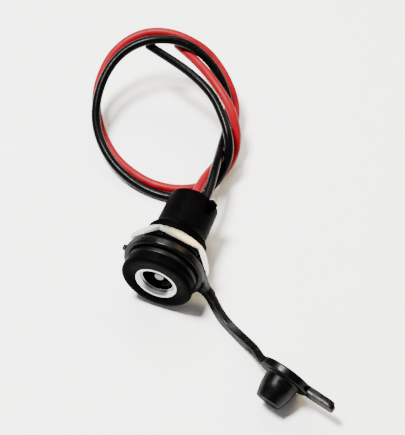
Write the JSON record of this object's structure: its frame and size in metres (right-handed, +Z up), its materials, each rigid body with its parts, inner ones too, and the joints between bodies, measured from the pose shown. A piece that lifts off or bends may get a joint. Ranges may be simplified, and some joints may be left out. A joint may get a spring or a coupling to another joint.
{
  "type": "panel-mount dc power jack",
  "caption": "Charging socket with a threaded body, hex nut, rubber seal, tethered dust cap and red and black leads.",
  "frame": {"origin": "on the jack's axis, on the centre pin, in the plane of the flange's back face", "axes": "-Y out of the socket's mouth along the jack's axis, +Y towards the leads, +Z up from the table it lies on, +X right"},
  "size_m": [0.0691, 0.0699, 0.0158],
  "materials": {
    "black_plastic": "fine matte moulded plastic",
    "core_plastic": "plain moulded plastic",
    "nickel": "nickel-plated brass, satin to bright",
    "bronze": "sprung bronze strip",
    "copper": "tinned copper strands",
    "solder": "dull solder",
    "seal_rubber": "smooth black rubber",
    "cap_rubber": "satin black rubber",
    "black_sleeve": "shrunk sleeve",
    "red_sleeve": "shrunk sleeve",
    "black_insulation": "soft glossy wire insulation",
    "red_insulation": "soft glossy wire insulation"
  },
  "bodies": {
    "root": {"housing": "black_plastic", "front_ring": "nickel", "centre_pin": "nickel", "core": "core_plastic", "sleeve_contact": "bronze", "pin_lug": "bronze", "rear_cover": "black_plastic", "seal_ring": "seal_rubber", "hex_nut": "nickel", "dust_cap": "cap_rubber", "conductor_black": "copper", "conductor_red": "copper", "solder_black": "solder", "solder_red": "solder", "shrink_sleeve_black": "black_sleeve", "shrink_sleeve_red": "red_sleeve", "lead_black": "black_insulation", "lead_red": "red_insulation"}
  },
  "joints": []
}
